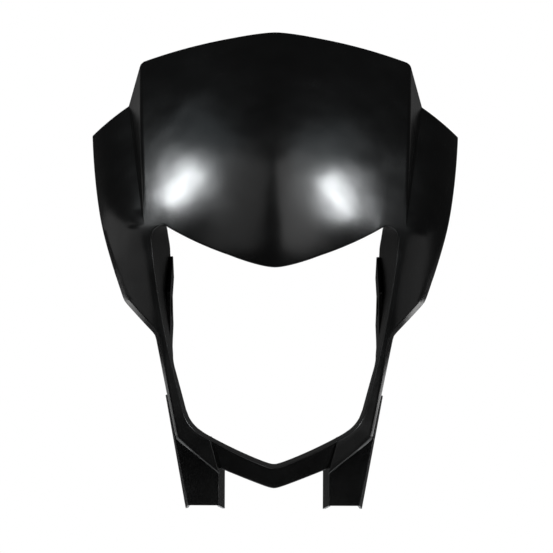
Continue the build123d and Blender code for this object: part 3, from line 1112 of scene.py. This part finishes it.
boss = Sheet()
boss.grid([boss_section(tau * share) for share in steps(BOSS_TURNS)])
for side in (-1, 1):
    reaches = [between(RIB_START, RIB_REACH, share) for share in steps(RIB_ROWS)]
    boss.grid([rib_section(STAY_Z + side * reach) for reach in reaches])
bosses = boss.finish("stay_bosses")
bosses.modifiers.new("left boss", "MIRROR")
bosses.modifiers.new("shading", "WEIGHTED_NORMAL")
print("stay bosses", len(bosses.data.polygons), "faces each")

# %% [markdown]
# ## Gloss black plastic
# The colour is nearly black, so the look comes from what the skin mirrors. A fine ripple from the mould,
# flat sink marks and a little dust keep the mirror images from being perfect. Outside and inside share
# them, so they are one node group. The hidden inner side is satin and takes rougher values.

# %% Moulded surface
RIPPLE = {"Scale": 160, "Detail": 2}
RIPPLE_DEPTH = {"Strength": 0.04, "Distance": 0.0006}
SINK = {"Scale": 26, "Detail": 1}
SINK_DEPTH = {"Strength": 0.7, "Distance": 0.0009}
DUST = {"Scale": 28, "Detail": 6}
DUST_RANGE = {"From Min": 0.35, "From Max": 0.75}  # noise that counts as clean and as dusty


def set_values(node, values):
    """Sets a node's inputs by their names."""
    for name, value in values.items():
        node.inputs[name].default_value = value
    return node


def moulded_surface():
    """Group with a roughness between Clean and Dusty, and a normal with ripple and sink marks."""
    tree = bpy.data.node_groups.new("moulded_surface", "ShaderNodeTree")
    tree.interface.new_socket("Clean", in_out="INPUT", socket_type="NodeSocketFloat")
    tree.interface.new_socket("Dusty", in_out="INPUT", socket_type="NodeSocketFloat")
    tree.interface.new_socket("Roughness", in_out="OUTPUT", socket_type="NodeSocketFloat")
    tree.interface.new_socket("Normal", in_out="OUTPUT", socket_type="NodeSocketVector")
    add, link = tree.nodes.new, tree.links.new
    given = add("NodeGroupInput")
    result = add("NodeGroupOutput")
    place = add("ShaderNodeTexCoord")
    ripple = set_values(add("ShaderNodeTexNoise"), RIPPLE)
    sink = set_values(add("ShaderNodeTexNoise"), SINK)
    dust = set_values(add("ShaderNodeTexNoise"), DUST)
    for noise in (ripple, sink, dust):
        link(place.outputs["Object"], noise.inputs["Vector"])
    rippled = set_values(add("ShaderNodeBump"), RIPPLE_DEPTH)
    sunk = set_values(add("ShaderNodeBump"), SINK_DEPTH)
    link(ripple.outputs["Fac"], rippled.inputs["Height"])
    link(sink.outputs["Fac"], sunk.inputs["Height"])
    link(rippled.outputs["Normal"], sunk.inputs["Normal"])
    link(sunk.outputs["Normal"], result.inputs["Normal"])
    gloss = set_values(add("ShaderNodeMapRange"), DUST_RANGE)
    link(dust.outputs["Fac"], gloss.inputs["Value"])
    link(given.outputs["Clean"], gloss.inputs["To Min"])
    link(given.outputs["Dusty"], gloss.inputs["To Max"])
    link(gloss.outputs["Result"], result.inputs["Roughness"])
    return tree


surface = moulded_surface()
print("moulded surface has", len(surface.nodes), "nodes")

# %% Plastic
PLASTIC_IOR = 1.52


def finish_plastic(material, shade, clean, dusty):
    """Nearly black plastic whose roughness lies between two values."""
    material.use_nodes = True
    tree = material.node_tree
    shader = tree.nodes["Principled BSDF"]
    set_values(shader, {"Base Color": (shade, shade, shade, 1), "IOR": PLASTIC_IOR})
    moulded = tree.nodes.new("ShaderNodeGroup")
    moulded.node_tree = surface
    set_values(moulded, {"Clean": clean, "Dusty": dusty})
    for name in ("Roughness", "Normal"):
        tree.links.new(moulded.outputs[name], shader.inputs[name])


finish_plastic(black_plastic, shade=0.0016, clean=0.21, dusty=0.28)
finish_plastic(inner_plastic, shade=0.016, clean=0.42, dusty=0.52)
print("plastic outside and inside share", surface.name)

# %% [markdown]
# ## Stage and light
# The cowl hangs at its bolts over a pale floor that fades into a white room. Only the camera sees the room
# as white: the plastic mirrors it much dimmer, or black gloss would turn grey. Two tall soft boxes, in
# front, above and to the sides, give the two bright fields on the hood's flanks, each with a weak cool lamp
# above it for the haze round the field. Large weak panels in front and at the sides lift the hood, wings
# and straps, and small lamps behind touch the rims. The fill light from the back shows no mirror image.

# %% Stage
FLOOR_Z = -0.42
FLOOR_RADIUS = 0.85
FLOOR_CORNERS = 96
FADE_START = 0.4  # share of the floor's radius at which it starts to fade
PAPER = (0.8, 0.8, 0.8, 1)
PAPER_ROUGHNESS = 0.9

disc = bmesh.new()
bmesh.ops.create_circle(disc, cap_ends=True, radius=FLOOR_RADIUS, segments=FLOOR_CORNERS)
bmesh.ops.translate(disc, verts=disc.verts, vec=(0, 0, FLOOR_Z))
floor = add_object("floor", bpy.data.meshes.new("floor"))
disc.to_mesh(floor.data)
disc.free()


def paper_floor():
    """White paper that takes the cowl's shadow and fades into the white room at its rim."""
    material = bpy.data.materials.new("paper_floor")
    material.use_nodes = True
    tree = material.node_tree
    add, link = tree.nodes.new, tree.links.new
    paper = tree.nodes["Principled BSDF"]
    set_values(paper, {"Base Color": PAPER, "Roughness": PAPER_ROUGHNESS})
    radius = add("ShaderNodeVectorMath")
    radius.operation = "DISTANCE"
    radius.inputs[1].default_value = (0, 0, FLOOR_Z)
    link(add("ShaderNodeTexCoord").outputs["Object"], radius.inputs[0])
    fade = add("ShaderNodeMapRange")
    fade.interpolation_type = "SMOOTHSTEP"
    set_values(fade, {"From Min": FLOOR_RADIUS * FADE_START, "From Max": FLOOR_RADIUS})
    link(radius.outputs["Value"], fade.inputs["Value"])
    camera_ray = Wire(tree, add("ShaderNodeLightPath").outputs["Is Camera Ray"])
    seen = Wire(tree, fade.outputs["Result"]) * camera_ray
    blend = add("ShaderNodeMixShader")
    link(seen.socket, blend.inputs["Fac"])
    link(paper.outputs[0], blend.inputs[1])
    link(add("ShaderNodeEmission").outputs[0], blend.inputs[2])
    link(blend.outputs[0], tree.nodes["Material Output"].inputs["Surface"])
    return material


floor.data.materials.append(paper_floor())
print("floor is", round(-FLOOR_Z, 2), "m below the bolts")

# %% White room
MIRRORED_ROOM = 0.02  # brightness of the room as the plastic mirrors it
MIRRORED_BACKDROP = 0.04  # brightness of its wall behind the cowl
BACKDROP_EDGE = 0.6  # how much of a ray has to head backwards to meet that wall
RAYS = ("Glossy", "Camera", "Transmission")


def white_room():
    """World that is white for the camera and dim in mirror images."""
    world = bpy.data.worlds.new("white_room")
    world.use_nodes = True
    tree = world.node_tree
    add, link = tree.nodes.new, tree.links.new
    rays = add("ShaderNodeLightPath")
    heading = add("ShaderNodeSeparateXYZ")
    link(add("ShaderNodeTexCoord").outputs["Generated"], heading.inputs[0])
    room = add("ShaderNodeMapRange")
    set_values(room, {"From Min": BACKDROP_EDGE, "To Min": MIRRORED_ROOM, "To Max": MIRRORED_BACKDROP})
    link(heading.outputs["Y"], room.inputs["Value"])
    glossy, seen, through = [Wire(tree, rays.outputs[f"Is {kind} Ray"]) for kind in RAYS]
    strength = glossy * Wire(tree, room.outputs["Result"]) + larger(seen, through)
    background = tree.nodes["Background"]
    background.inputs["Color"].default_value = (1, 1, 1, 1)
    link(strength.socket, background.inputs["Strength"])
    return world


scene.world = white_room()
scene.view_settings.view_transform = "Standard"
print("room is white for the camera")

# %% Lights
COOL = (0.82, 0.94, 1.0)
DAYLIGHT = (0.94, 0.98, 1.0)
WHITE = (1, 1, 1)
LIT_PLACE = Vector((0, -0.05, 0.1))  # all lamps look at this place


def soft_box(name, azimuth, elevation, distance, wide, high, power, color=WHITE):
    """Area light that looks at the cowl: azimuth 0 is the camera's side, 90 the right."""
    lamp = add_object(name, bpy.data.lights.new(name, "AREA"))
    lamp.data.shape = "RECTANGLE"
    lamp.data.size = wide
    lamp.data.size_y = high
    lamp.data.energy = power
    lamp.data.color = color
    around, up = radians(azimuth), radians(elevation)
    ray = Vector((sin(around) * cos(up), -cos(around) * cos(up), sin(up)))
    lamp.location = ray * distance + LIT_PLACE
    lamp.rotation_euler = ray.to_track_quat("Z", "Y").to_euler()
    return lamp


soft_box("left_box", -61, 37, 1.17, 0.17, 0.40, 9.6, DAYLIGHT)
soft_box("right_box", 45.5, 35, 1.16, 0.16, 0.50, 11, DAYLIGHT)
soft_box("left_haze", -68, 54, 1.3, 0.5, 0.5, 0.4, COOL)
soft_box("right_haze", 50, 57, 1.3, 0.5, 0.4, 0.35, COOL)
soft_box("left_front", -30, 31.5, 1.35, 0.6, 1.5, 1.3)
soft_box("right_front", 22, 31.5, 1.35, 0.6, 1.5, 3.2)
soft_box("left_panel", -92, 6, 1.2, 1.3, 0.5, 0.75)
soft_box("right_panel", 84, -2, 1.2, 0.9, 0.36, 0.28)
soft_box("left_strip", -126, -18, 1.2, 0.25, 0.3, 0.4)
soft_box("right_strip", 126, -19, 1.2, 0.25, 0.25, 0.6)
soft_box("left_back", -147, 16, 1.2, 0.4, 0.4, 0.06)
soft_box("right_back", 147, 16, 1.2, 0.4, 0.4, 0.05)
soft_box("rear_fill", 180, 20, 1.4, 1.2, 0.9, 14).visible_glossy = False

# %% [markdown]
# ## Hand over
# All pieces move with the one body, and together they stand for the one moulding of the solid model. Ears
# and bosses have no inner side of their own, so they are gloss black all over.

# %% Hand over
for piece in (pattern, chin_bar, legs, ears, bosses):
    if not piece.data.materials:
        piece.data.materials.append(black_plastic)
    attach(piece, "root")
    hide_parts("headlight_cowl")
